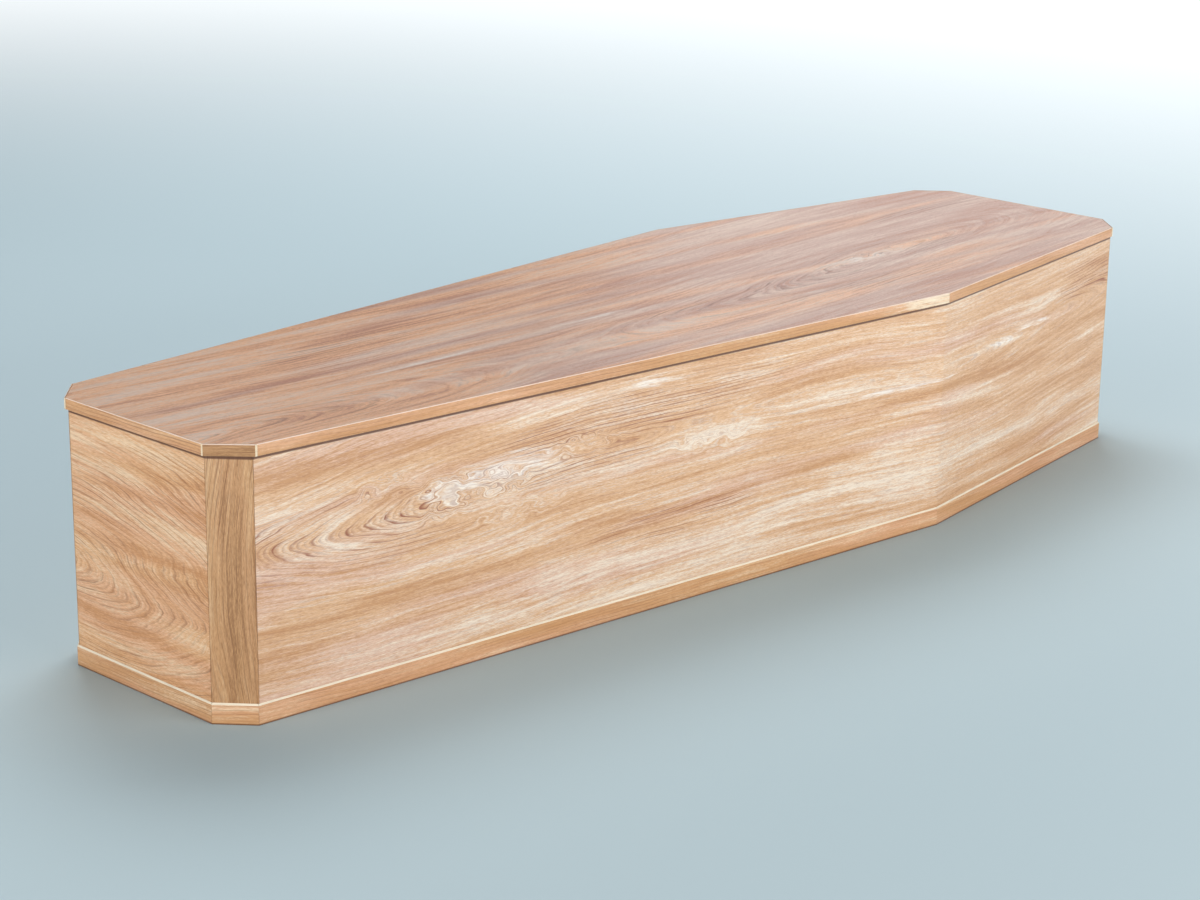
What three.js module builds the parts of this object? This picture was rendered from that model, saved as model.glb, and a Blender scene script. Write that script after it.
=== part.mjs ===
// A closed wooden coffin: a ten-sided box of oak-faced board, widest at the
// shoulders, with narrow corner posts, a low plinth and a flat lid that lifts
// off. Millimetres, +Z up. The head end points to +X and the foot end to -X.
// The origin is on the ground under the middle of the box's length and width.

import * as THREE from 'three';

// Lid outline, seen from above
const lidLength = 1980;
const shoulderFromFoot = 1340;
const lidShoulderWidth = 622;
const lidFootWidth = 390;
const lidHeadWidth = 432;

// How far each cut corner of the lid reaches along the coffin and across it
const footCornerAlong = 46;
const footCornerAcross = 48;
const headCornerAlong = 45;
const headCornerAcross = 50;

// The body's cut corners reach this much less along the coffin than the lid's
const postNarrowing = 4;

// Boards
const bodyHeight = 366;
const wallThickness = 16;
const floorThickness = 16;
const lidThickness = 16;
const lidOverhang = 4.5;

// How far each corner post wraps round its two arrises, which are flattened
const postArris = 1.5;

// Thin edge bands round the lid
const bandThickness = 2;
const bandBevel = 0.8;

// Plinth strips round the foot of the walls, with a steep bevel along the top
const plinthHeight = 30;
const plinthThickness = 1.8;
const plinthBevelDepth = 1.6;
const plinthBevelHeight = 2.5;

// Gap left in each glued or butted joint
const jointGap = 0.3;

const boardColour = 0xd9a878;
const lidColour = 0xc79a80;
const postColour = 0xa9794d;
const stripColour = 0xcf9a68;
const innerColour = 0xcdb592;

const wood = (color, roughness = 0.5) =>
  new THREE.MeshStandardMaterial({ color, roughness, metalness: 0 });

// The ten sides, anticlockwise seen from above. Side n runs from corner n to
// corner n + 1, and right is -Y.
const sideNames = [
  'foot_corner_right', 'side_right_lower', 'side_right_upper', 'head_corner_right', 'head_end',
  'head_corner_left', 'side_left_upper', 'side_left_lower', 'foot_corner_left', 'foot_end',
];
const sideCount = sideNames.length;
const wrap = (side) => (side + sideCount) % sideCount;
const isCutCorner = (side) => sideNames[wrap(side)].includes('_corner_');

// The ten corners of an outline whose cut corners are shorter by narrowing
function outlineCorners(narrowing) {
  const headX = lidLength / 2;
  const footX = -headX;
  const footY = lidFootWidth / 2;
  const headY = lidHeadWidth / 2;
  const rightSide = [
    [footX, -(footY - footCornerAcross)],
    [footX + footCornerAlong - narrowing, -footY],
    [footX + shoulderFromFoot, -lidShoulderWidth / 2],
    [headX - headCornerAlong + narrowing, -headY],
    [headX, -(headY - headCornerAcross)],
  ];
  const leftSide = rightSide.map(([x, y]) => [x, -y]).reverse();
  return [...rightSide, ...leftSide].map(([x, y]) => new THREE.Vector2(x, y));
}
const lidCorners = outlineCorners(0);
const bodyCorners = outlineCorners(postNarrowing);

// A line in plan: a point, a direction, and the direction to its left, where
// the material lies
function planLine(point, along) {
  return { point, along, inward: new THREE.Vector2(-along.y, along.x) };
}

// The same line moved to its left, or to its right where distance is negative
function moved(line, distance) {
  return planLine(line.point.clone().addScaledVector(line.inward, distance), line.along);
}

// Where two lines in plan cross
function crossing(a, b) {
  const between = b.point.clone().sub(a.point);
  const reach = between.cross(b.along) / a.along.cross(b.along);
  return a.point.clone().addScaledVector(a.along, reach);
}

// One side of an outline, moved inwards by inset
function sideLine(corners, side, inset) {
  const start = corners[wrap(side)];
  const end = corners[wrap(side + 1)];
  return moved(planLine(start, end.clone().sub(start).normalize()), inset);
}

// The mitre between a side and the next: a line inwards from the corner that
// they make at an inset, with its start moved by shift, which is positive on
// the next side and negative on the first
function mitreLine(corners, side, inset, shift = 0) {
  const before = sideLine(corners, side, inset);
  const after = sideLine(corners, side + 1, inset);
  const carrier = shift < 0 ? before : after;
  const start = crossing(before, after).addScaledVector(carrier.along, shift);
  return planLine(start, before.inward.clone().add(after.inward).normalize());
}

// The flat across the arris between a side and the next
function arrisLine(corners, side, inset, reach) {
  const before = sideLine(corners, side, inset);
  const after = sideLine(corners, side + 1, inset);
  const start = crossing(before, after).addScaledVector(before.along, -reach);
  return planLine(start, before.along.clone().add(after.along).normalize());
}

// The corners of the plan area that consecutive lines close round
const areaInside = (lines) =>
  lines.map((line, n) => crossing(line, lines[(n + 1) % lines.length]));

// A board with upright edges
function board(name, points, bottom, thickness, material) {
  const shape = new THREE.Shape(points);
  const geometry = new THREE.ExtrudeGeometry(shape, { depth: thickness, bevelEnabled: false });
  const mesh = new THREE.Mesh(geometry, material);
  mesh.name = name;
  mesh.position.z = bottom;
  return mesh;
}

// A convex strip through plan areas at rising heights
function strip(name, levels, material) {
  const positions = [];
  const addFace = (...vertices) => {
    for (let n = 2; n < vertices.length; n += 1) {
      positions.push(...vertices[0], ...vertices[n - 1], ...vertices[n]);
    }
  };
  const rings = levels.map(({ z, points }) => points.map((point) => [point.x, point.y, z]));
  addFace(...rings[0].slice().reverse());
  addFace(...rings[rings.length - 1]);
  for (let level = 1; level < rings.length; level += 1) {
    const low = rings[level - 1];
    const high = rings[level];
    low.forEach((corner, n) => {
      const next = (n + 1) % low.length;
      addFace(corner, low[next], high[next], high[n]);
    });
  }
  const geometry = new THREE.BufferGeometry();
  geometry.setAttribute('position', new THREE.Float32BufferAttribute(positions, 3));
  geometry.computeVertexNormals();
  const mesh = new THREE.Mesh(geometry, material);
  mesh.name = name;
  return mesh;
}

// The walls' faces, in from the body's outline
const wallOuter = lidOverhang;
const wallInner = lidOverhang + wallThickness;
const halfGap = jointGap / 2;

// A wall from one post to the next, along one side or along two with a fold
function wallPanel(name, sides) {
  const first = sideNames.indexOf(sides[0]);
  const last = sideNames.indexOf(sides[sides.length - 1]);
  const numbers = sides.map((side) => sideNames.indexOf(side));
  const points = areaInside([
    moved(mitreLine(bodyCorners, first - 1, wallOuter, postArris), -halfGap),
    ...numbers.map((side) => sideLine(bodyCorners, side, wallOuter)),
    moved(mitreLine(bodyCorners, last, wallOuter, -postArris), halfGap),
    ...numbers.reverse().map((side) => sideLine(bodyCorners, side, wallInner)),
  ]);
  return board(name, points, 0, bodyHeight, wood(boardColour));
}

function cornerPost(side) {
  const points = areaInside([
    moved(mitreLine(bodyCorners, side - 1, wallOuter, -postArris), -halfGap),
    arrisLine(bodyCorners, side - 1, wallOuter, postArris),
    sideLine(bodyCorners, side, wallOuter),
    arrisLine(bodyCorners, side, wallOuter, postArris),
    moved(mitreLine(bodyCorners, side, wallOuter, postArris), halfGap),
    sideLine(bodyCorners, side, wallInner),
  ]);
  const name = `corner_post_${sideNames[side].replace('_corner', '')}`;
  return board(name, points, 0, bodyHeight, wood(postColour));
}

function floorBoard() {
  const edges = sideNames.map((_, side) => sideLine(bodyCorners, side, wallInner + jointGap));
  return board('floor_board', areaInside(edges), 0, floorThickness, wood(innerColour, 0.7));
}

// Plinth strips, mitred where they meet
function plinthStrip(side) {
  const back = wallOuter - jointGap;
  const front = back - plinthThickness;
  const outline = (face) => areaInside([
    moved(mitreLine(bodyCorners, side - 1, front), -halfGap),
    sideLine(bodyCorners, side, face),
    moved(mitreLine(bodyCorners, side, front), halfGap),
    sideLine(bodyCorners, side, back),
  ]);
  return strip(`plinth_strip_${sideNames[side]}`, [
    { z: 0, points: outline(front) },
    { z: plinthHeight - plinthBevelHeight, points: outline(front) },
    { z: plinthHeight, points: outline(front + plinthBevelDepth) },
  ], wood(stripColour));
}

function lidPanel() {
  const inset = bandThickness + jointGap;
  const edges = sideNames.map((_, side) => sideLine(lidCorners, side, inset));
  return board('lid_panel', areaInside(edges), bodyHeight, lidThickness, wood(lidColour, 0.4));
}

// The end of a lid band. A band on a cut corner laps over the ends of the bands
// beside it and is flush with their faces. Two bands at a shoulder are mitred.
function bandEnd(side, neighbour, face) {
  if (isCutCorner(side)) return sideLine(lidCorners, neighbour, face);
  if (isCutCorner(neighbour)) return sideLine(lidCorners, neighbour, bandThickness + jointGap);
  const startsHere = neighbour < side;
  const mitre = mitreLine(lidCorners, startsHere ? neighbour : side, face);
  return moved(mitre, startsHere ? -halfGap : halfGap);
}

function lidBand(side) {
  const outline = (face) => areaInside([
    bandEnd(side, side - 1, face),
    sideLine(lidCorners, side, face),
    bandEnd(side, side + 1, face),
    sideLine(lidCorners, side, bandThickness),
  ]);
  const lidTop = bodyHeight + lidThickness;
  return strip(`lid_edge_band_${sideNames[side]}`, [
    { z: bodyHeight, points: outline(0) },
    { z: lidTop - bandBevel, points: outline(0) },
    { z: lidTop, points: outline(bandBevel) },
  ], wood(stripColour));
}

const everySide = sideNames.map((_, side) => side);

const body = new THREE.Group();
body.add(
  floorBoard(),
  wallPanel('side_panel_right', ['side_right_lower', 'side_right_upper']),
  wallPanel('side_panel_left', ['side_left_upper', 'side_left_lower']),
  wallPanel('head_end_panel', ['head_end']),
  wallPanel('foot_end_panel', ['foot_end']),
  ...everySide.filter(isCutCorner).map(cornerPost),
  ...everySide.map(plinthStrip),
);

const lid = new THREE.Group();
lid.add(lidPanel(), ...everySide.map(lidBand));

const coffin = new THREE.Group();
coffin.name = 'coffin';
coffin.add(body, lid);

export default coffin;
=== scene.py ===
# Finishes a closed wooden coffin: oak-faced boards with rounded arrises, thin
# bands round the lid, a bevelled plinth, and a pale studio. Metres, in the
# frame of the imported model: +X towards the head end, -Y the right side, +Z up.

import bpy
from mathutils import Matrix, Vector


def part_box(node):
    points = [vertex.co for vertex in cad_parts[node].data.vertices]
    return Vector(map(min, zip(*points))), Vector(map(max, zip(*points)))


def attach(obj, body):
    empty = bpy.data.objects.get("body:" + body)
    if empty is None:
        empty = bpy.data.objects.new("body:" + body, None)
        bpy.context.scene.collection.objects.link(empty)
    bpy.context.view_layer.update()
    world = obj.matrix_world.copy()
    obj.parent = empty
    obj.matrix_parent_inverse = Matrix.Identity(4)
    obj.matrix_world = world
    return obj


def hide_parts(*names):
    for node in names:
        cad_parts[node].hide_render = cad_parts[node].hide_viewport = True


bl_info = {
    "name": "Oak Coffin Finish",
    "version": (1, 0, 0),
    "blender": (4, 5, 0),
    "location": "3D View > Sidebar > Coffin",
    "description": "Finishes the boards, edge strips and studio of a wooden coffin",
    "category": "Object",
}

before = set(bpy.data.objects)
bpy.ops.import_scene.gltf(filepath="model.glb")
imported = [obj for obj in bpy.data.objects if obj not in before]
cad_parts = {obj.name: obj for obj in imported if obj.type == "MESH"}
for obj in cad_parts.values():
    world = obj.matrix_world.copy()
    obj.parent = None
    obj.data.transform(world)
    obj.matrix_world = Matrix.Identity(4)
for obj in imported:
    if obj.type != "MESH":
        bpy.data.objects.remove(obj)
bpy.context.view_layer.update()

import math

import bmesh
import bpy
from mathutils import Matrix, Vector

UP = Vector((0.0, 0.0, 1.0))

SIDES = (
    "foot_corner_right", "side_right_lower", "side_right_upper", "head_corner_right", "head_end",
    "head_corner_left", "side_left_upper", "side_left_lower", "foot_corner_left", "foot_end",
)
POSTS = ("foot_right", "head_right", "head_left", "foot_left")

# A pale patch as strong as this shows bare white wood in its middle
BARE = 0.8

# A patch fades out at this many times its length and width
PATCH_REACH = 2.3

# Roughness of the thin lacquer on the oak
LACQUER_ROUGHNESS = 0.32

# Vertices of a CAD mesh that are this close are one corner, and faces that meet
# at less than this angle are one face
SAME_CORNER = 1e-5
SAME_FACE = math.radians(0.5)


# Colours and sizes that a user can change

def linear(red, green, blue):
    """A colour given as 0 to 255 in sRGB, in the linear values that nodes use."""
    values = []
    for channel in (red, green, blue):
        share = channel / 255
        values.append(share / 12.92 if share <= 0.04045 else ((share + 0.055) / 1.055) ** 2.4)
    return tuple(values)


def colour(name, description, red, green, blue):
    return bpy.props.FloatVectorProperty(
        name=name, description=description, default=linear(red, green, blue),
        subtype="COLOR", size=3, min=0.0, max=1.0,
    )


def length(name, description, default):
    return bpy.props.FloatProperty(
        name=name, description=description, default=default, min=0.0, unit="LENGTH", precision=5,
    )


def factor(name, description, default):
    return bpy.props.FloatProperty(
        name=name, description=description, default=default, min=0.0, max=1.0, subtype="FACTOR",
    )


def angle(name, description, degrees):
    return bpy.props.FloatProperty(
        name=name, description=description, default=math.radians(degrees), subtype="ANGLE",
    )


class CoffinSideFinish(bpy.types.PropertyGroup):
    line: colour("Ring lines", "Thin reddish-brown lines of the grain", 136, 66, 38)
    dark: colour("Dark wood", "Tan streaks between the pale ones", 196, 148, 104)
    mid: colour("Wood", "Main colour of the walls", 220, 181, 144)
    rose: colour("Rosy wood", "Pinkish stretches of the walls", 220, 184, 162)
    pale: colour("Pale wood", "Cream streaks and patches", 238, 224, 207)
    white: colour("White wood", "Nearly white flecks beside knots", 244, 238, 232)
    ring_spacing: length("Ring spacing", "Distance between two ring lines", 0.0050)


class CoffinFootFinish(bpy.types.PropertyGroup):
    line: colour("Ring lines", "Thin dark lines of the grain", 142, 88, 50)
    dark: colour("Dark wood", "Orange-brown streaks", 196, 140, 90)
    mid: colour("Wood", "Main colour of the foot end", 220, 172, 126)
    rose: colour("Rosy wood", "Pinkish stretches", 222, 172, 134)
    pale: colour("Pale wood", "Cream streaks", 236, 206, 172)
    ring_spacing: length("Ring spacing", "Distance between two ring lines", 0.0068)


class CoffinLidFinish(bpy.types.PropertyGroup):
    line: colour("Ring lines", "Thin reddish lines of the grain", 120, 68, 48)
    dark: colour("Dark wood", "Reddish streaks", 184, 126, 98)
    mid: colour("Wood", "Main colour of the lid's foot end", 234, 178, 132)
    # The pale pink of the lid's head end is partly the wood's tone and partly a painted sheen, beside the
    # real sheen from the lamp sheen_head
    rose: colour("Rosy wood", "Pinkish main colour of the lid's head end", 198, 160, 144)
    pale: colour("Pale wood", "Pale pinkish streaks and patches", 222, 196, 178)
    white: colour("White wood", "Nearly white flecks beside knots", 232, 222, 214)
    ring_spacing: length("Ring spacing", "Distance between two ring lines", 0.0085)


class CoffinPostFinish(bpy.types.PropertyGroup):
    line: colour("Ring lines", "Thin dark lines of the grain", 104, 66, 36)
    dark: colour("Dark wood", "Brown streaks", 150, 108, 70)
    mid: colour("Wood", "Main colour of the corner posts", 190, 146, 102)
    rose: colour("Rosy wood", "Warmer stretches of the posts", 192, 146, 104)
    pale: colour("Pale wood", "Lighter streaks", 208, 170, 130)
    ring_spacing: length("Ring spacing", "Distance between two ring lines", 0.005)


class CoffinEdgeFinish(bpy.types.PropertyGroup):
    line: colour("Ring lines", "Thin dark lines of the grain", 152, 96, 54)
    dark: colour("Dark wood", "Orange-tan streaks", 198, 146, 96)
    mid: colour("Wood", "Main colour of the edge strips", 208, 160, 114)
    rose: colour("Rosy wood", "Pinkish stretches of the strips", 218, 168, 132)
    pale: colour("Pale wood", "Cream streaks", 240, 214, 180)
    white: colour("White wood", "Palest flecks", 240, 224, 200)
    bevel: colour("Plinth bevel", "Pale wood that shows on the plinth's bevel", 242, 230, 208)
    # Pale wood lightened into a painted highlight along the bands' upper arris
    painted_arris_highlight: colour("Band arris", "Pale wood along the bands' upper arris", 250, 230, 216)
    cut_end: colour("Cut ends", "Pale wood at the cut ends of the bands", 232, 212, 182)
    arris: length("Arris", "Radius of the strips' rounded arrises", 0.0004)
    ring_spacing: length("Ring spacing", "Distance between two ring lines", 0.0045)


class CoffinInnerFinish(bpy.types.PropertyGroup):
    line: colour("Ring lines", "Thin lines of the grain", 160, 132, 96)
    dark: colour("Dark wood", "Darker streaks", 190, 164, 126)
    mid: colour("Wood", "Main colour of the floor board", 208, 184, 148)
    rose: colour("Rosy wood", "Warmer stretches of the floor board", 210, 182, 150)
    pale: colour("Pale wood", "Paler streaks", 222, 202, 170)
    ring_spacing: length("Ring spacing", "Distance between two ring lines", 0.012)


class CoffinBoardSettings(bpy.types.PropertyGroup):
    arris: length("Arris", "Radius of the boards' rounded arrises", 0.0006)
    lid_arris: length("Lid arris", "Radius of the lid board's rounded arrises", 0.0003)
    bump: length("Grain depth", "How deep the grain's lines and pores lie", 0.00012)
    gloss: factor("Lacquer", "Strength of the thin satin lacquer", 0.12)
    # Painted shade: this colour darkens the walls and posts under the lid's overhang, and the plinth where
    # it meets the ground
    painted_shade_colour: colour("Joints", "Dark wood in the joints under the lid and at the floor", 84, 46, 24)


class CoffinStageSettings(bpy.types.PropertyGroup):
    floor: colour("Floor", "Plain pale floor", 190, 211, 220)
    # Painted light: the floor glows more far from the coffin
    painted_glow: factor("Far floor", "Brightness that the floor gains far from the coffin", 0.85)
    glow_centre: bpy.props.FloatVectorProperty(
        name="Darkest place", description="Where the floor gains no brightness", default=(-1.2, 1.2, 0.0),
        subtype="TRANSLATION", unit="LENGTH", size=3,
    )
    sky: colour("Surround", "Soft light from all around", 236, 238, 240)
    sky_strength: factor("Surround strength", "Strength of the light from all around", 0.22)
    floor_reach: length("Floor reach", "How far the floor runs from the coffin", 40.0)
    azimuth: angle("Camera azimuth", "Direction of the view round the coffin", -46.4056)
    elevation: angle("Camera elevation", "Height of the view above the horizon", 17.0506)
    roll: angle("Camera roll", "Turn of the camera about its view", 0.7765)
    lens: bpy.props.FloatProperty(
        name="Lens", description="Focal length for a sensor 36 mm wide", default=81.92, min=1.0,
        unit="CAMERA",
    )
    position: bpy.props.FloatVectorProperty(
        name="Camera position", description="Where the camera stands",
        default=(-3.02501, -2.77601, 1.38916), subtype="TRANSLATION", unit="LENGTH", size=3,
    )


class CoffinSettings(bpy.types.PropertyGroup):
    sides: bpy.props.PointerProperty(type=CoffinSideFinish)
    foot: bpy.props.PointerProperty(type=CoffinFootFinish)
    lid: bpy.props.PointerProperty(type=CoffinLidFinish)
    posts: bpy.props.PointerProperty(type=CoffinPostFinish)
    edges: bpy.props.PointerProperty(type=CoffinEdgeFinish)
    inner: bpy.props.PointerProperty(type=CoffinInnerFinish)
    boards: bpy.props.PointerProperty(type=CoffinBoardSettings)
    stage: bpy.props.PointerProperty(type=CoffinStageSettings)


# Values that flow through a material's nodes, written as formulas

class Signal:
    """A node's output, which can be added and multiplied like a number."""

    def __init__(self, tree, socket):
        self.tree = tree
        self.socket = socket

    def calculate(self, operation, *others):
        node = self.tree.nodes.new("ShaderNodeMath")
        node.operation = operation
        for socket, value in zip(node.inputs, (self, *others)):
            feed(self.tree, socket, value)
        return Signal(self.tree, node.outputs[0])

    def __add__(self, other):
        return self.calculate("ADD", other)

    def __sub__(self, other):
        return self.calculate("SUBTRACT", other)

    def __mul__(self, other):
        return self.calculate("MULTIPLY", other)

    def __truediv__(self, other):
        return self.calculate("DIVIDE", other)

    def root(self):
        return self.calculate("SQRT")

    def fraction(self):
        return self.calculate("FRACT")

    def rise(self, low, high, bottom=0.0, top=1.0):
        """Goes smoothly from bottom to top as the value goes from low to high."""
        node = self.tree.nodes.new("ShaderNodeMapRange")
        node.interpolation_type = "SMOOTHSTEP"
        for socket, value in zip(node.inputs, (self, low, high, bottom, top)):
            feed(self.tree, socket, value)
        return Signal(self.tree, node.outputs[0])

    def curve(self, low, high, points):
        """Follows a smooth curve through points, whose first values go from low to high."""
        share = (self - low) / (high - low)
        node = self.tree.nodes.new("ShaderNodeFloatCurve")
        node.mapping.use_clip = False
        handles = node.mapping.curves[0].points
        places = [((x - low) / (high - low), y) for x, y in points]
        handles[0].location = places[0]
        handles[1].location = places[-1]
        for place in places[1:-1]:
            handles.new(*place)
        node.mapping.update()
        feed(self.tree, node.inputs["Value"], share)
        return Signal(self.tree, node.outputs[0])


def feed(tree, socket, value):
    """Links a signal to a socket, or sets the socket to a plain value."""
    if isinstance(value, Signal):
        tree.links.new(value.socket, socket)
    else:
        socket.default_value = value


def blended(tree, share, first, second):
    """Two colours mixed by a share from 0 to 1."""
    node = tree.nodes.new("ShaderNodeMix")
    node.data_type = "RGBA"
    chosen = {socket.identifier: socket for socket in node.inputs}
    feed(tree, chosen["Factor_Float"], share)
    for identifier, value in (("A_Color", first), ("B_Color", second)):
        if not isinstance(value, Signal):
            value = (*value, 1.0)
        feed(tree, chosen[identifier], value)
    result = next(socket for socket in node.outputs if socket.identifier == "Result_Color")
    return Signal(tree, result)


class Grain:
    """A board's own directions in metres: along its grain, across it, and out of its face."""

    def __init__(self, tree, seed, place):
        self.tree = tree
        self.seed = seed
        self.draws = 0
        self.place = place
        split = tree.nodes.new("ShaderNodeSeparateXYZ")
        tree.links.new(place, split.inputs[0])
        self.along, self.across, self.out = (Signal(tree, output) for output in split.outputs)

    @classmethod
    def on_board(cls, tree, seed, origin, along, outward):
        """The grain of a board whose pattern starts at origin, from Object coordinates."""
        turn = Matrix((along, outward.cross(along), outward)).transposed()
        where = tree.nodes.new("ShaderNodeTexCoord")
        mapping = tree.nodes.new("ShaderNodeMapping")
        mapping.vector_type = "TEXTURE"
        mapping.inputs["Location"].default_value = origin
        mapping.inputs["Rotation"].default_value = turn.to_euler()
        tree.links.new(where.outputs["Object"], mapping.inputs["Vector"])
        return cls(tree, seed, mapping.outputs["Vector"])

    @classmethod
    def on_strip(cls, tree, seed):
        """The grain of an edge strip, from the attribute that its own nodes store."""
        stored = tree.nodes.new("ShaderNodeAttribute")
        stored.attribute_type = "GEOMETRY"
        stored.attribute_name = "grain"
        return cls(tree, seed, stored.outputs["Vector"])

    def noise(self, long, wide, detail=2.0, roughness=0.5, place=None):
        """Soft noise from 0 to 1 in patches about long by wide."""
        self.draws += 1
        scaled = self.tree.nodes.new("ShaderNodeVectorMath")
        scaled.operation = "MULTIPLY_ADD"
        self.tree.links.new(place or self.place, scaled.inputs[0])
        scaled.inputs[1].default_value = (1 / long, 1 / wide, 0.12 / wide)
        start = 31.7 * self.seed + 7.3 * self.draws
        scaled.inputs[2].default_value = (start, 1.7 * start, 0.6 * start)
        node = self.tree.nodes.new("ShaderNodeTexNoise")
        self.tree.links.new(scaled.outputs[0], node.inputs["Vector"])
        node.inputs["Scale"].default_value = 1.0
        node.inputs["Detail"].default_value = detail
        node.inputs["Roughness"].default_value = roughness
        return Signal(self.tree, node.outputs[0])

    def patch(self, centre, size, place):
        """1 at the centre of an oval patch, falling to 0 at its rim."""
        scaled = self.tree.nodes.new("ShaderNodeVectorMath")
        scaled.operation = "MULTIPLY_ADD"
        self.tree.links.new(place, scaled.inputs[0])
        scaled.inputs[1].default_value = (1 / size[0], 1 / size[1], 0.0)
        scaled.inputs[2].default_value = (-centre[0] / size[0], -centre[1] / size[1], 0.0)
        distance = self.tree.nodes.new("ShaderNodeVectorMath")
        distance.operation = "LENGTH"
        self.tree.links.new(scaled.outputs[0], distance.inputs[0])
        return Signal(self.tree, distance.outputs["Value"]).rise(0.0, 1.0, 1.0, 0.0)

    def strongest(self, ovals, place):
        """The strongest of several patches (along, across, long, wide), or None without any."""
        found = None
        for at_along, at_across, long, wide in ovals:
            spot = self.patch((at_along, at_across), (long, wide), place)
            found = spot if found is None else found.calculate("MAXIMUM", spot)
        return found


def joined(tree, along, across):
    """A place in the board's face from its two directions."""
    node = tree.nodes.new("ShaderNodeCombineXYZ")
    feed(tree, node.inputs[0], along)
    feed(tree, node.inputs[1], across)
    return node.outputs[0]


# Oak

def new_material(name):
    material = bpy.data.materials.new(name)
    material.use_nodes = True
    return material


def shader_of(material):
    return material.node_tree.nodes["Principled BSDF"]


def oak(name, finish, boards, grain_of, heart, depth, spacing, figured=(), patches=(), curls=(),
        lines=0.7, contrast=1.0, rosier=0.0, shade=None, roughness=(0.36, 0.5)):
    """Oak with the rings of a sawn log.

    heart holds points (along, across) of the line over the log's heart, and depth
    points (along, depth) of how deep the heart lies under the face. figured holds
    ovals (along, across, long, wide) where the rings show strongly, and curls such
    ovals where the grain swirls round a knot. patches are (along, across, long,
    wide, tone), pale where tone is over 0 and tan under it. lines is the strength
    of the ring lines and contrast that of the streaks. The wood gets rosier along
    the board. shade turns the grain into the share of painted shadow, as under the
    lid's overhang and at the plinth's foot.
    """
    material = new_material(name)
    tree = material.node_tree
    grain = grain_of(tree)
    low, high = heart[0][0], heart[-1][0]

    # The grain wanders in metres, slowly along the board and fast round a knot
    sway = (grain.noise(0.55, 0.16, 1.0) - 0.5) * 0.036
    ripple = (grain.noise(0.12, 0.024, 2.0) - 0.5) * 0.007
    across = grain.across + sway + ripple
    knots = grain.strongest(curls, grain.place)
    if knots is not None:
        swirl = (grain.noise(0.042, 0.020, 1.5) - 0.5) * knots.rise(0.0, 0.6) * 0.075
        across = across + swirl
    slip = (grain.noise(0.22, 0.05, 1.0) - 0.5) * 0.10
    along = grain.along + slip
    bent = joined(tree, along, across)

    # Rings: how far each point lies from the heart of the log
    off_heart = across - along.curve(low, high, heart)
    under = along.curve(low, high, depth) + (grain.noise(0.20, 0.2, 1.0) - 0.5) * 0.016
    radius = (off_heart * off_heart + under * under).root()
    flow = joined(tree, along, radius)
    rings = radius / spacing + (grain.noise(0.5, 0.02, 2.0) - 0.5) * 1.6

    # The last third of a ring is dark late wood, and finer lines lie in between.
    # They fade in and out along the board, and are broken up like pores.
    turn = rings.fraction()
    late_wood = turn.rise(0.64, 0.92) * turn.rise(0.92, 1.0, 1.0, 0.0)
    fine_turn = (rings * 2.7).fraction()
    fine_line = fine_turn.rise(0.30, 0.90) * fine_turn.rise(0.90, 1.0, 1.0, 0.0)
    fading = grain.noise(0.24, 0.035, 2.0, 0.6).rise(0.36, 0.60)
    broken = grain.noise(0.045, 0.0020, 2.0, 0.6, flow).rise(0.30, 0.58, 0.15, 1.0)
    line = late_wood * broken * (fading * 0.75 + 0.25)
    vivid = grain.strongest(figured, bent)
    if vivid is not None:
        vivid = vivid.rise(0.0, 0.45, 0.18, 1.0)
        line = line * vivid
        fading = fading * vivid

    # Colour drifts in long soft streaks that follow the rings
    drift = grain.noise(0.42, 0.032, 3.0, 0.55, bent)
    streak = grain.noise(0.22, 0.0055, 3.0, 0.6, flow)
    thread = grain.noise(0.060, 0.0016, 3.0, 0.65, flow)
    fibre = grain.noise(0.014, 0.0008, 2.0, 0.65)
    ragged = grain.noise(0.05, 0.0045, 3.0, 0.65, bent)
    speck = grain.noise(0.0075, 0.0011, 3.0, 0.7)
    # Each noise is 0.5 on average, so the tone is 0 on average
    tone = (drift * 1.2 + streak + thread * 0.9 + speck - 2.05) * contrast
    bare = None
    for at_along, at_across, long, wide, strength in patches:
        reach = (PATCH_REACH * long, PATCH_REACH * wide)
        spot = grain.patch((at_along, at_across), reach, bent)
        tone = tone + spot * (ragged * 1.6 - 0.3) * (0.6 * strength)
        if strength >= BARE:
            rough = spot + (ragged - 0.5) * 2.2 + (thread - 0.5)
            frayed = rough.rise(0.50, 1.15) * spot.rise(0.0, 0.25)
            bare = frayed if bare is None else bare + frayed
    stops = (tone + 0.5).calculate("MINIMUM", 1.0).calculate("MAXIMUM", 0.0)
    rosy = grain.noise(0.5, 0.045, 2.0, 0.5, bent) + grain.along * rosier
    main = blended(tree, rosy.rise(0.38, 0.62), finish.mid, finish.rose)
    wood = blended(tree, stops.rise(0.0, 0.55), finish.dark, main)
    wood = blended(tree, stops.rise(0.45, 1.0), wood, finish.pale)
    if bare is not None:
        wood = blended(tree, bare.calculate("MINIMUM", 1.0) * 0.8, wood, finish.white)

    # Fine threads, pores and ring lines darken it
    wood = blended(tree, fibre.rise(0.46, 0.76, 0.0, 0.32), wood, finish.line)
    wood = blended(tree, thread.rise(0.52, 0.72, 0.0, 0.36), wood, finish.line)
    pore = grain.noise(0.011, 0.0005, 1.0, 0.5).rise(0.60, 0.72)
    wood = blended(tree, pore * 0.32, wood, finish.line)
    wood = blended(tree, fine_line * fading * (0.36 * lines), wood, finish.line)
    wood = blended(tree, line * lines, wood, finish.line)
    # Painted shadow: the lid's shadow on the walls and posts, and the ground's shadow on the plinth
    if shade is not None:
        wood = blended(tree, shade(grain), wood, boards.painted_shade_colour)

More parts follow.
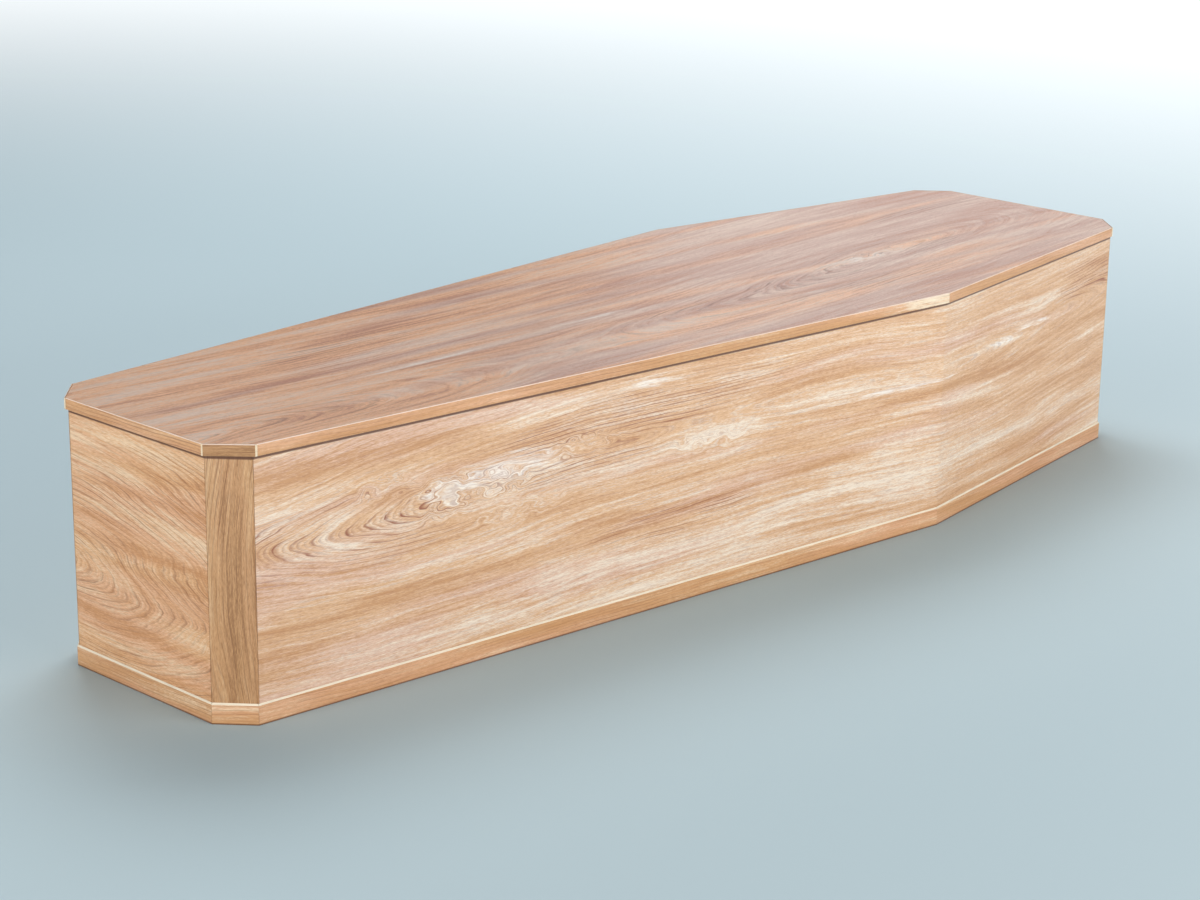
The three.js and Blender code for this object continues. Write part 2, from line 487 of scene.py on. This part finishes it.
    shader = shader_of(material)
    feed(tree, shader.inputs["Base Color"], wood)
    dull = (streak * 0.5 + pore * 0.4 + line * 0.3).rise(0.1, 0.8, *roughness)
    feed(tree, shader.inputs["Roughness"], dull)
    shader.inputs["Coat Weight"].default_value = boards.gloss
    shader.inputs["Coat Roughness"].default_value = LACQUER_ROUGHNESS

    bump = tree.nodes.new("ShaderNodeBump")
    bump.inputs["Strength"].default_value = 0.5
    bump.inputs["Distance"].default_value = boards.bump
    feed(tree, bump.inputs["Height"], fibre * 0.6 - pore)
    tree.links.new(bump.outputs["Normal"], shader.inputs["Normal"])
    return material


def plain_oak(name, base, roughness, seed):
    """A narrow face of bare wood, with fine grain along its strip."""
    material = new_material(name)
    tree = material.node_tree
    grain = Grain.on_strip(tree, seed)
    darker = tuple(0.82 * channel for channel in base)
    fine = grain.noise(0.03, 0.0012, 2.0, 0.6)
    wood = blended(tree, fine.rise(0.35, 0.8), base, darker)
    shader = shader_of(material)
    feed(tree, shader.inputs["Base Color"], wood)
    feed(tree, shader.inputs["Roughness"], fine.rise(0.2, 0.8, roughness, roughness + 0.12))
    bump = tree.nodes.new("ShaderNodeBump")
    bump.inputs["Strength"].default_value = 0.4
    bump.inputs["Distance"].default_value = 0.0001
    feed(tree, bump.inputs["Height"], fine)
    tree.links.new(bump.outputs["Normal"], shader.inputs["Normal"])
    return material


# Pieces

def finish_piece(piece, nodes):
    """Lets a piece stand for its CAD nodes and move with the coffin."""
    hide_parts(*nodes)
    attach(piece, "root")


def eased_board(node, name, material, radius):
    """A copy of a CAD board with its arrises rounded."""
    work = bmesh.new()
    work.from_mesh(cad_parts[node].data)
    bmesh.ops.remove_doubles(work, verts=work.verts, dist=SAME_CORNER)
    bmesh.ops.dissolve_limit(work, angle_limit=SAME_FACE, verts=work.verts, edges=work.edges)
    mesh = bpy.data.meshes.new(name)
    work.to_mesh(mesh)
    work.free()
    mesh.materials.clear()
    mesh.materials.append(material)
    board = bpy.data.objects.new(name, mesh)
    bpy.context.scene.collection.objects.link(board)
    arrises = board.modifiers.new("Arrises", "BEVEL")
    arrises.width = radius
    arrises.segments = 3
    arrises.limit_method = "ANGLE"
    arrises.angle_limit = math.radians(10)
    return board


def strip_form(node):
    """Place and sizes of an edge strip, read from its CAD node."""
    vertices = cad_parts[node].data.vertices
    points = {tuple(round(value, 6) for value in vertex.co) for vertex in vertices}
    heights = sorted({point[2] for point in points})
    bottom = [Vector(point[:2]) for point in points if point[2] == heights[0]]
    top = [Vector(point[:2]) for point in points if point[2] == heights[-1]]
    middle = sum(bottom, Vector((0.0, 0.0))) / len(bottom)
    bottom.sort(key=lambda point: math.atan2(*(point - middle).yx))

    def offset(number):
        start, end = bottom[number], bottom[(number + 1) % 4]
        run = (end - start).normalized()
        return run.x * start.y - run.y * start.x, (end - start).length

    # The outer face is the long edge that lies further from the coffin's middle
    long_edges = sorted(range(4), key=lambda number: -offset(number)[1])[:2]
    outer = max(long_edges, key=lambda number: abs(offset(number)[0]))
    front_start, front_end, back_end, back_start = (bottom[(outer + step) % 4] for step in range(4))
    run = (front_end - front_start).normalized()
    inward = Vector((-run.y, run.x))
    thickness = (back_start - front_start).dot(inward)
    return {
        "origin": Vector((*back_start, heights[0])),
        "run": Vector((*run, 0.0)),
        "Run Length": (back_end - back_start).dot(run),
        "Height": heights[-1] - heights[0],
        "Thickness": thickness,
        "Bevel Depth": min((point - front_start).dot(inward) for point in top),
        "Bevel Height": heights[-1] - heights[-2],
        "Start Slant": (front_start - back_start).dot(run) / thickness,
        "End Slant": (front_end - back_end).dot(run) / thickness,
    }


class TreeBuilder:
    """Adds nodes to the strips' geometry tree."""

    def __init__(self, tree):
        self.tree = tree

    def add(self, kind, *values, **named_values):
        """A new node. Values go to its inputs in order, and None leaves an input as it is."""
        node = self.tree.nodes.new(kind)
        numbered = {number: value for number, value in enumerate(values) if value is not None}
        for key, value in {**numbered, **named_values}.items():
            if isinstance(value, bpy.types.NodeSocket):
                self.tree.links.new(value, node.inputs[key])
            else:
                node.inputs[key].default_value = value
        return node

    def math(self, operation, first, second=0.0):
        node = self.add("ShaderNodeMath", first, second)
        node.operation = operation
        return node.outputs[0]

    def vector(self, x, y, z):
        return self.add("ShaderNodeCombineXYZ", x, y, z).outputs[0]


STRIP_SIZES = (
    "Run Length", "Height", "Thickness", "Bevel Depth", "Bevel Height", "Start Slant", "End Slant",
    "Arris", "Grain Start",
)


def strip_tree():
    """A tree that makes one edge strip: its profile lies in XY, up and outwards, and it runs along Z."""
    tree = bpy.data.node_groups.new("Edge Strip", "GeometryNodeTree")
    tree.interface.new_socket("Geometry", in_out="INPUT", socket_type="NodeSocketGeometry")
    for name in STRIP_SIZES:
        tree.interface.new_socket(name, in_out="INPUT", socket_type="NodeSocketFloat")
    for name in ("Face", "Bevel", "Cut End"):
        tree.interface.new_socket(name, in_out="INPUT", socket_type="NodeSocketMaterial")
    tree.interface.new_socket("Geometry", in_out="OUTPUT", socket_type="NodeSocketGeometry")
    build = TreeBuilder(tree)
    given = tree.nodes.new("NodeGroupInput").outputs
    height, thickness = given["Height"], given["Thickness"]

    # Five corners of the profile, anticlockwise from the bottom of the back
    circle = build.add("GeometryNodeCurvePrimitiveCircle", 5)
    corners = tree.nodes.new("GeometryNodeIndexSwitch")
    corners.data_type = "VECTOR"
    for _ in range(3):
        corners.index_switch_items.new()
    index = tree.nodes.new("GeometryNodeInputIndex").outputs[0]
    tree.links.new(index, corners.inputs[0])
    profile = (
        build.vector(0.0, 0.0, 0.0),
        build.vector(height, 0.0, 0.0),
        build.vector(height, build.math("SUBTRACT", thickness, given["Bevel Depth"]), 0.0),
        build.vector(build.math("SUBTRACT", height, given["Bevel Height"]), thickness, 0.0),
        build.vector(0.0, thickness, 0.0),
    )
    for number, corner in enumerate(profile):
        tree.links.new(corner, corners.inputs[number + 1])
    outline = build.add("GeometryNodeSetPosition", circle.outputs[0], Position=corners.outputs[0])
    on_front = build.math("GREATER_THAN", index, 1.5)
    rounded = build.add(
        "GeometryNodeFilletCurve",
        Curve=outline.outputs[0], Radius=build.math("MULTIPLY", given["Arris"], on_front),
    )
    rounded.mode = "POLY"
    rounded.inputs["Limit Radius"].default_value = True
    rounded.inputs["Count"].default_value = 3

    # The profile runs the strip's length, and its ends are slanted
    path = build.add("GeometryNodeCurvePrimitiveLine", End=build.vector(0.0, 0.0, given["Run Length"]))
    swept = build.add("GeometryNodeCurveToMesh", path.outputs[0], rounded.outputs[0])
    swept.inputs["Fill Caps"].default_value = True
    position = tree.nodes.new("GeometryNodeInputPosition").outputs[0]
    where = build.add("ShaderNodeSeparateXYZ", position).outputs
    share = build.math("DIVIDE", where[2], given["Run Length"])
    spread = build.math("SUBTRACT", given["End Slant"], given["Start Slant"])
    slant = build.math("ADD", given["Start Slant"], build.math("MULTIPLY", spread, share))
    shift = build.vector(0.0, 0.0, build.math("MULTIPLY", where[1], slant))
    slanted = build.add("GeometryNodeSetPosition", swept.outputs[0], Offset=shift)

    # Each point keeps its place along, across and out of the strip's grain
    along = build.math("ADD", where[2], given["Grain Start"])
    stored = tree.nodes.new("GeometryNodeStoreNamedAttribute")
    stored.data_type = "FLOAT_VECTOR"
    stored.domain = "POINT"
    stored.inputs["Name"].default_value = "grain"
    tree.links.new(slanted.outputs[0], stored.inputs["Geometry"])
    tree.links.new(build.vector(along, where[0], where[1]), stored.inputs["Value"])

    #     The bevel, which faces up and outwards, and the cut ends get their own materials: bare wood on the
    #     plinth's bevel and the cut ends, and pale wood under a painted highlight on the bands' bevel
    normal = tree.nodes.new("GeometryNodeInputNormal").outputs[0]
    facing = build.add("ShaderNodeSeparateXYZ", normal).outputs
    on_bevel = build.math("GREATER_THAN", build.math("MULTIPLY", facing[0], facing[1]), 0.2)
    on_end = build.math("GREATER_THAN", build.math("ABSOLUTE", facing[2]), 0.5)
    shape = build.add("GeometryNodeRealizeInstances", stored.outputs[0]).outputs[0]
    for name, chosen in (("Face", True), ("Bevel", on_bevel), ("Cut End", on_end)):
        painted = build.add("GeometryNodeSetMaterial", shape, chosen, given[name])
        shape = painted.outputs[0]
    output = tree.nodes.new("NodeGroupOutput")
    tree.links.new(shape, output.inputs[0])
    return tree


def made_strip(tree, node, name, arris, grain_start, materials):
    """One edge strip, made by the tree at the place and in the size of its CAD node."""
    form = strip_form(node)
    sizes = {**form, "Arris": arris, "Grain Start": grain_start, **materials}
    strip = bpy.data.objects.new(name, bpy.data.meshes.new(name))
    bpy.context.scene.collection.objects.link(strip)
    modifier = strip.modifiers.new("Strip", "NODES")
    modifier.node_group = tree
    for item in tree.interface.items_tree:
        if item.in_out == "INPUT" and item.name in sizes:
            modifier[item.identifier] = sizes[item.name]
    depsgraph = bpy.context.evaluated_depsgraph_get()
    made = bpy.data.meshes.new_from_object(
        strip.evaluated_get(depsgraph), preserve_all_data_layers=True, depsgraph=depsgraph,
    )
    strip.modifiers.remove(modifier)
    if not made.polygons:
        raise RuntimeError(f"the tree made no faces for {name}")
    outward = form["run"].cross(UP)
    turn = Matrix((UP, outward, form["run"])).transposed().to_4x4()
    made.transform(Matrix.Translation(form["origin"]) @ turn)
    old = strip.data
    strip.data = made
    made.name = name
    bpy.data.meshes.remove(old)
    return strip


def board_grain(seed, origin, along, outward):
    """Gives the grain of a board to the material that asks for it."""
    return lambda tree: Grain.on_board(tree, seed, origin, along, outward)


def wall_grain(seed, node, along, outward):
    """Grain that starts at the bottom of a wall's left end, seen from outside."""
    low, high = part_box(node)
    origin = Vector((low.x if along.x > 0 else high.x, low.y if along.y > 0 else high.y, 0.0))
    return board_grain(seed, origin, along, outward)


def painted_lid_shadow(height):
    """Share of painted shadow under the lid's overhang, at a height on the walls and posts."""
    lid_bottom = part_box("lid_panel")[0].z
    starts, darkest = lid_bottom - 0.0056, lid_bottom - 0.0038
    return height.rise(starts, darkest, 0.0, 0.92)


class COFFIN_OT_side_panels(bpy.types.Operator):
    """Finish the two long walls in light oak"""
    bl_idname = "coffin.side_panels"
    bl_label = "Side Panels"

    def execute(self, context):
        coffin = context.scene.coffin
        right = oak(
            "oak_side_right", coffin.sides, coffin.boards,
            wall_grain(1, "side_panel_right", Vector((1, 0, 0)), Vector((0, -1, 0))),
            heart=((0.0, 0.228), (0.30, 0.240), (0.60, 0.262), (1.00, 0.268), (1.40, 0.258), (1.90, 0.285)),
            depth=(
                (0.0, 0.062), (0.10, 0.046), (0.30, 0.012), (0.45, 0.006), (0.80, 0.014),
                (1.20, 0.006), (1.60, 0.020), (1.90, 0.034),
            ),
            spacing=coffin.sides.ring_spacing,
            figured=(
                (0.14, 0.230, 0.34, 0.075), (0.46, 0.255, 0.34, 0.050), (0.62, 0.300, 0.34, 0.045),
                (0.88, 0.330, 0.20, 0.035), (1.82, 0.315, 0.16, 0.050), (0.72, 0.130, 0.20, 0.030),
            ),
            patches=(
                (0.60, 0.070, 0.18, 0.022, 0.7), (0.30, 0.070, 0.16, 0.020, 0.5),
                (1.22, 0.120, 0.20, 0.030, 0.6), (1.20, 0.200, 0.20, 0.016, 0.5),
                (0.56, 0.200, 0.16, 0.012, 0.5), (0.50, 0.345, 0.12, 0.010, 0.4),
                (0.345, 0.250, 0.045, 0.014, 0.9), (0.440, 0.262, 0.085, 0.015, 0.9),
                (0.68, 0.339, 0.045, 0.006, 0.8), (0.47, 0.245, 0.06, 0.008, 0.7),
                (0.15, 0.235, 0.06, 0.016, 0.4), (0.80, 0.245, 0.09, 0.016, 0.5),
                (1.20, 0.243, 0.13, 0.004, 0.8), (1.05, 0.272, 0.22, 0.016, -0.5),
                (0.66, 0.145, 0.11, 0.020, -0.7), (0.97, 0.155, 0.09, 0.020, -0.7),
                (0.12, 0.338, 0.15, 0.013, -0.7), (0.36, 0.115, 0.10, 0.016, -0.5),
                (1.02, 0.080, 0.36, 0.028, 0.75), (0.30, 0.155, 0.12, 0.014, 0.4),
                (1.50, 0.262, 0.06, 0.004, 0.9), (1.60, 0.272, 0.07, 0.004, 0.8),
                (1.43, 0.226, 0.09, 0.007, -0.7), (1.82, 0.315, 0.07, 0.020, -0.6),
                (1.47, 0.315, 0.10, 0.020, -0.6), (1.65, 0.200, 0.24, 0.050, -0.45),
            ),
            curls=(
                (0.305, 0.252, 0.090, 0.055), (0.400, 0.252, 0.080, 0.035), (0.435, 0.206, 0.110, 0.024),
                (0.205, 0.283, 0.070, 0.024), (0.550, 0.276, 0.100, 0.022), (0.800, 0.240, 0.120, 0.030),
            ),
            lines=0.95, contrast=1.2, rosier=-0.12,
            shade=lambda grain: painted_lid_shadow(grain.across),
        )
        left = oak(
            "oak_side_left", coffin.sides, coffin.boards,
            wall_grain(2, "side_panel_left", Vector((-1, 0, 0)), Vector((0, 1, 0))),
            heart=((0.0, 0.180), (0.60, 0.150), (1.20, 0.190), (1.90, 0.170)),
            depth=((0.0, 0.030), (0.50, 0.060), (1.00, 0.015), (1.40, 0.045), (1.90, 0.085)),
            spacing=coffin.sides.ring_spacing,
            figured=((1.05, 0.175, 0.40, 0.050), (0.40, 0.160, 0.24, 0.035), (1.70, 0.180, 0.24, 0.040)),
            patches=(
                (1.00, 0.180, 0.12, 0.016, 0.8), (0.35, 0.280, 0.10, 0.010, 0.6),
                (1.45, 0.105, 0.14, 0.014, 0.6), (0.62, 0.100, 0.16, 0.020, -0.6),
                (1.30, 0.300, 0.16, 0.014, -0.6), (0.15, 0.200, 0.10, 0.014, -0.5),
            ),
            curls=((1.06, 0.172, 0.090, 0.035), (0.90, 0.196, 0.080, 0.026)),
            shade=lambda grain: painted_lid_shadow(grain.across),
        )
        for side, material in (("right", right), ("left", left)):
            node = f"side_panel_{side}"
            board = eased_board(node, f"side_board_{side}", material, coffin.boards.arris)
            finish_piece(board, [node])
        return {"FINISHED"}


class COFFIN_OT_end_panels(bpy.types.Operator):
    """Finish the foot and head ends in light oak"""
    bl_idname = "coffin.end_panels"
    bl_label = "End Panels"

    def execute(self, context):
        coffin = context.scene.coffin
        foot = oak(
            "oak_foot_end", coffin.foot, coffin.boards,
            wall_grain(3, "foot_end_panel", Vector((0, -1, 0)), Vector((-1, 0, 0))),
            heart=((0.0, 0.150), (0.15, 0.140), (0.30, 0.128)),
            depth=((0.0, 0.020), (0.12, 0.050), (0.30, 0.110)),
            spacing=coffin.foot.ring_spacing,
            patches=(
                (0.19, 0.198, 0.12, 0.006, -1.0), (0.08, 0.126, 0.05, 0.006, -0.9),
                (0.21, 0.308, 0.10, 0.009, -0.7), (0.24, 0.245, 0.07, 0.020, 0.7),
                (0.20, 0.335, 0.06, 0.010, 0.5), (0.24, 0.075, 0.08, 0.018, 0.5),
                (0.03, 0.280, 0.04, 0.010, 0.4), (0.10, 0.090, 0.10, 0.014, -0.5),
            ),
            contrast=1.4,
            shade=lambda grain: painted_lid_shadow(grain.across),
        )
        head = oak(
            "oak_head_end", coffin.sides, coffin.boards,
            wall_grain(4, "head_end_panel", Vector((0, 1, 0)), Vector((1, 0, 0))),
            heart=((0.0, 0.220), (0.17, 0.235), (0.34, 0.225)),
            depth=((0.0, 0.080), (0.20, 0.020), (0.34, 0.050)),
            spacing=coffin.sides.ring_spacing,
            patches=((0.20, 0.230, 0.08, 0.012, 0.8), (0.10, 0.120, 0.09, 0.014, -0.6)),
            shade=lambda grain: painted_lid_shadow(grain.across),
        )
        for end, material in (("foot", foot), ("head", head)):
            node = f"{end}_end_panel"
            board = eased_board(node, f"{end}_end_board", material, coffin.boards.arris)
            finish_piece(board, [node])
        return {"FINISHED"}


class COFFIN_OT_corner_posts(bpy.types.Operator):
    """Finish the four corner posts in darker oak with upright grain"""
    bl_idname = "coffin.corner_posts"
    bl_label = "Corner Posts"

    def execute(self, context):
        coffin = context.scene.coffin
        for number, corner in enumerate(POSTS):
            node = f"corner_post_{corner}"
            low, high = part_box(node)
            middle = (low + high) / 2
            reach = high - low
            # The post's face runs from one corner of its box to the other
            outward = Vector((
                math.copysign(reach.y, middle.x), math.copysign(reach.x, middle.y), 0.0,
            )).normalized()
            bottom = Vector((middle.x, middle.y, 0.0))
            material = oak(
                f"oak_post_{corner}", coffin.posts, coffin.boards,
                board_grain(11 + number, bottom, UP, outward),
                heart=((0.0, 0.060), (0.18, 0.066), (0.37, 0.058)),
                depth=((0.0, 0.030), (0.18, 0.040), (0.37, 0.030)),
                spacing=coffin.posts.ring_spacing, lines=0.6, contrast=1.3,
                shade=lambda grain: painted_lid_shadow(grain.along),
            )
            post = eased_board(node, f"corner_{corner}", material, coffin.boards.arris)
            finish_piece(post, [node])
        return {"FINISHED"}


class COFFIN_OT_floor_board(bpy.types.Operator):
    """Finish the floor board in plain wood"""
    bl_idname = "coffin.floor_board"
    bl_label = "Floor Board"

    def execute(self, context):
        coffin = context.scene.coffin
        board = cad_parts["floor_board"]
        material = oak(
            "plain_floor_board", coffin.inner, coffin.boards,
            board_grain(21, Vector((0.0, 0.0, 0.0)), Vector((1, 0, 0)), UP),
            heart=((-0.99, 0.05), (0.0, -0.04), (0.99, 0.02)),
            depth=((-0.99, 0.09), (0.0, 0.03), (0.99, 0.08)),
            spacing=coffin.inner.ring_spacing, lines=0.4, roughness=(0.6, 0.75),
        )
        board.data.materials.clear()
        board.data.materials.append(material)
        return {"FINISHED"}


class COFFIN_OT_lid_panel(bpy.types.Operator):
    """Finish the lid board in pinkish oak"""
    bl_idname = "coffin.lid_panel"
    bl_label = "Lid Panel"

    def execute(self, context):
        coffin = context.scene.coffin
        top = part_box("lid_panel")[1].z
        material = oak(
            "oak_lid", coffin.lid, coffin.boards,
            board_grain(31, Vector((0.0, 0.0, top)), Vector((1, 0, 0)), UP),
            heart=((-0.99, -0.125), (-0.50, -0.15), (0.0, -0.13), (0.45, -0.07), (0.99, -0.02)),
            depth=(
                (-0.99, 0.020), (-0.70, 0.050), (-0.30, 0.085), (0.10, 0.050), (0.48, 0.012), (0.99, 0.09),
            ),
            spacing=coffin.lid.ring_spacing,
            figured=(
                (0.50, -0.060, 0.30, 0.070), (-0.83, -0.140, 0.20, 0.060), (0.15, -0.100, 0.40, 0.040),
                (-0.55, 0.100, 0.24, 0.050), (0.30, -0.180, 0.30, 0.040), (0.80, 0.100, 0.25, 0.030),
            ),
            patches=(
                (-0.50, -0.055, 0.13, 0.004, 0.8), (-0.18, -0.040, 0.08, 0.006, 0.9),
                (0.46, -0.065, 0.09, 0.013, 1.0), (0.21, -0.160, 0.03, 0.006, 0.8),
                (-0.24, -0.170, 0.12, 0.020, 0.5), (-0.81, -0.135, 0.10, 0.020, -0.5),
                (-0.37, 0.110, 0.14, 0.020, -0.7), (-0.97, 0.022, 0.08, 0.006, -0.8),
                (0.14, -0.240, 0.06, 0.015, -0.7), (0.80, 0.110, 0.20, 0.008, -0.5),
                (0.93, 0.015, 0.08, 0.007, -0.7), (0.05, 0.090, 0.22, 0.020, -0.5),
                (0.35, 0.200, 0.24, 0.040, 0.4), (-0.78, 0.040, 0.12, 0.014, 0.4),
                (-0.95, 0.000, 0.10, 0.080, 0.6), (-0.70, 0.160, 0.16, 0.030, 0.5),
                (-0.74, -0.055, 0.16, 0.018, 0.6), (-0.45, -0.130, 0.20, 0.020, 0.5),
            ),
            curls=((0.50, -0.058, 0.120, 0.030),),
            # The lid turns rosier towards its head end: partly the wood's tone, partly a painted sheen
            contrast=1.5, rosier=0.22,
        )
        board = eased_board("lid_panel", "lid_board", material, coffin.boards.lid_arris)
        finish_piece(board, ["lid_panel"])
        return {"FINISHED"}


def edge_oak(name, coffin, finish, lines=0.6, **details):
    """Straight-grained oak for the faces of the edge strips."""
    return oak(
        name, finish, coffin.boards, lambda tree: Grain.on_strip(tree, 41),
        heart=((-5.0, 0.10), (30.0, 0.12)), depth=((-5.0, 0.02), (30.0, 0.05)),
        spacing=coffin.edges.ring_spacing, lines=lines, **details,
    )


def edge_strips(context, node_prefix, piece_prefix, materials_for):
    """Every strip of one kind, made by the same tree."""
    arris = context.scene.coffin.edges.arris
    tree = bpy.data.node_groups.get("Edge Strip") or strip_tree()
    for number, side in enumerate(SIDES):
        node = f"{node_prefix}_{side}"
        grain_start = 2.3 * number
        strip = made_strip(tree, node, f"{piece_prefix}_{side}", arris, grain_start, materials_for(side))
        finish_piece(strip, [node])


class COFFIN_OT_lid_bands(bpy.types.Operator):
    """Make the ten thin bands round the lid"""
    bl_idname = "coffin.lid_bands"
    bl_label = "Lid Bands"

    def execute(self, context):
        coffin = context.scene.coffin
        # The band of the right lower side turns cream before the shoulder
        cream = ((3.54, 0.010, 0.08, 0.020, 0.9), (3.60, 0.004, 0.06, 0.020, 0.9))
        # These patches cover all bands and darken them evenly
        everywhere = (10.0, 0.008, 20.0, 0.10)
        darker, darkest = (*everywhere, -0.4), (*everywhere, -0.6)
        face = edge_oak("oak_band", coffin, coffin.edges, patches=(*cream, darker))
        corner = edge_oak("oak_band_corner", coffin, coffin.posts, patches=(darkest,))
        foot = edge_oak("oak_band_foot", coffin, coffin.foot, lines=0.8, patches=(darker,))
        # The bands' upper arris: pale wood lightened into a painted highlight
        arris = plain_oak("band_arris_painted_highlight", tuple(coffin.edges.painted_arris_highlight), 0.5, 42)
        cut_end = plain_oak("oak_cut_end", tuple(coffin.edges.cut_end), 0.6, 44)

        def materials_for(side):
            front = corner if "corner" in side else foot if side == "foot_end" else face
            return {"Face": front, "Bevel": arris, "Cut End": cut_end}

        edge_strips(context, "lid_edge_band", "lid_band", materials_for)
        return {"FINISHED"}


class COFFIN_OT_plinth(bpy.types.Operator):
    """Make the ten bevelled strips of the plinth"""
    bl_idname = "coffin.plinth"
    bl_label = "Plinth"

    def execute(self, context):
        coffin = context.scene.coffin
        #         The lowest millimetre gets a painted shadow, where the plinth meets the ground
        face = edge_oak(
            "oak_plinth", coffin, coffin.edges,
            shade=lambda grain: grain.across.rise(0.0010, 0.0032, 0.8, 0.0),
        )
        bevel = plain_oak("oak_plinth_bevel", tuple(coffin.edges.bevel), 0.5, 43)
        materials = {"Face": face, "Bevel": bevel, "Cut End": face}
        edge_strips(context, "plinth_strip", "plinth", lambda side: materials)
        return {"FINISHED"}


# Studio

def soft_light(name, position, aim, size, watts, tint):
    """A large soft lamp that looks at aim."""
    data = bpy.data.lights.new(name, "AREA")
    data.shape = "RECTANGLE"
    data.size, data.size_y = size
    data.energy = watts
    data.color = tint
    lamp = bpy.data.objects.new(name, data)
    lamp.location = position
    lamp.rotation_euler = (Vector(aim) - Vector(position)).to_track_quat("-Z", "Y").to_euler()
    lamp.visible_camera = False
    bpy.context.scene.collection.objects.link(lamp)


def floor_material(stage):
    """A pale floor whose emission paints light that grows with distance, like the sweep of a studio."""
    material = new_material("pale_floor")
    tree = material.node_tree
    where = tree.nodes.new("ShaderNodeTexCoord")
    reach = tree.nodes.new("ShaderNodeVectorMath")
    reach.operation = "DISTANCE"
    reach.inputs[1].default_value = stage.glow_centre
    tree.links.new(where.outputs["Object"], reach.inputs[0])
    away = Signal(tree, reach.outputs["Value"])
    shader = shader_of(material)
    shader.inputs["Base Color"].default_value = (*stage.floor, 1.0)
    shader.inputs["Roughness"].default_value = 0.9
    shader.inputs["Specular IOR Level"].default_value = 0.1
    shader.inputs["Emission Color"].default_value = (1.0, 1.0, 1.0, 1.0)
    # Painted light: the floor's glow grows from the darkest place outwards
    glow_starts, glow_full = 2.0, 7.4
    feed(tree, shader.inputs["Emission Strength"], away.rise(glow_starts, glow_full, 0.0, stage.painted_glow))
    return material


class COFFIN_OT_stage(bpy.types.Operator):
    """Set up the pale floor, the soft lights and the camera"""
    bl_idname = "coffin.stage"
    bl_label = "Studio"

    def execute(self, context):
        scene = context.scene
        stage = scene.coffin.stage
        scene.view_settings.view_transform = "Standard"

        world = bpy.data.worlds.new("Studio")
        world.use_nodes = True
        background = world.node_tree.nodes["Background"]
        background.inputs["Color"].default_value = (*stage.sky, 1.0)
        background.inputs["Strength"].default_value = stage.sky_strength
        scene.world = world

        mesh = bpy.data.meshes.new("studio_floor")
        reach = stage.floor_reach
        corners = [(-reach, -reach, 0), (reach, -reach, 0), (reach, reach, 0), (-reach, reach, 0)]
        mesh.from_pydata(corners, [], [(0, 1, 2, 3)])
        mesh.materials.append(floor_material(stage))
        floor = bpy.data.objects.new("studio_floor", mesh)
        scene.collection.objects.link(floor)

        middle, head_end = (0.0, 0.0, 0.2), (0.9, 0.0, 0.4)
        warm, cool, pink = (1.0, 0.97, 0.93), (1.0, 0.99, 0.98), (1.0, 0.97, 0.97)
        soft_light("key_right", (0.8, -5.0, 1.1), middle, (5.0, 1.8), 214.0, warm)
        soft_light("fill_foot", (-4.4, -0.4, 0.9), middle, (2.4, 1.4), 94.0, warm)
        soft_light("top_back", (1.5, 2.0, 4.2), middle, (3.0, 3.0), 150.0, cool)
        #         This panel gives the lid part of the sheen that grows towards the head end; the rest is a
        #         painted sheen in the lid's colour
        soft_light("sheen_head", (7.9, 4.2, 2.4), head_end, (5.0, 3.0), 60.0, pink)

        data = bpy.data.cameras.new("Camera")
        data.lens = stage.lens
        data.sensor_width = 36.0
        data.sensor_fit = "HORIZONTAL"
        data.clip_start = 0.05
        data.clip_end = 200.0
        camera = bpy.data.objects.new("Camera", data)
        tilt = math.pi / 2 - stage.elevation
        turn = (
            Matrix.Rotation(stage.azimuth, 4, "Z")
            @ Matrix.Rotation(tilt, 4, "X")
            @ Matrix.Rotation(stage.roll, 4, "Z")
        )
        camera.matrix_world = Matrix.Translation(stage.position) @ turn
        scene.collection.objects.link(camera)
        scene.camera = camera
        return {"FINISHED"}


OPERATORS = (
    COFFIN_OT_side_panels, COFFIN_OT_end_panels, COFFIN_OT_corner_posts, COFFIN_OT_floor_board,
    COFFIN_OT_lid_panel, COFFIN_OT_lid_bands, COFFIN_OT_plinth, COFFIN_OT_stage,
)


class COFFIN_PT_panel(bpy.types.Panel):
    bl_idname = "COFFIN_PT_panel"
    bl_label = "Coffin"
    bl_space_type = "VIEW_3D"
    bl_region_type = "UI"
    bl_category = "Coffin"

    def draw(self, context):
        for operator in OPERATORS:
            self.layout.operator(operator.bl_idname)


CLASSES = (
    CoffinSideFinish, CoffinFootFinish, CoffinLidFinish, CoffinPostFinish, CoffinEdgeFinish,
    CoffinInnerFinish, CoffinBoardSettings, CoffinStageSettings, CoffinSettings,
    *OPERATORS, COFFIN_PT_panel,
)


def register():
    for item in CLASSES:
        bpy.utils.register_class(item)
    bpy.types.Scene.coffin = bpy.props.PointerProperty(type=CoffinSettings)


def unregister():
    del bpy.types.Scene.coffin
    for item in reversed(CLASSES):
        bpy.utils.unregister_class(item)


def main():
    register()
    bpy.ops.coffin.side_panels()
    bpy.ops.coffin.end_panels()
    bpy.ops.coffin.corner_posts()
    bpy.ops.coffin.floor_board()
    bpy.ops.coffin.lid_panel()
    bpy.ops.coffin.lid_bands()
    bpy.ops.coffin.plinth()
    bpy.ops.coffin.stage()
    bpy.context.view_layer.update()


if __name__ == "__main__":
    main()
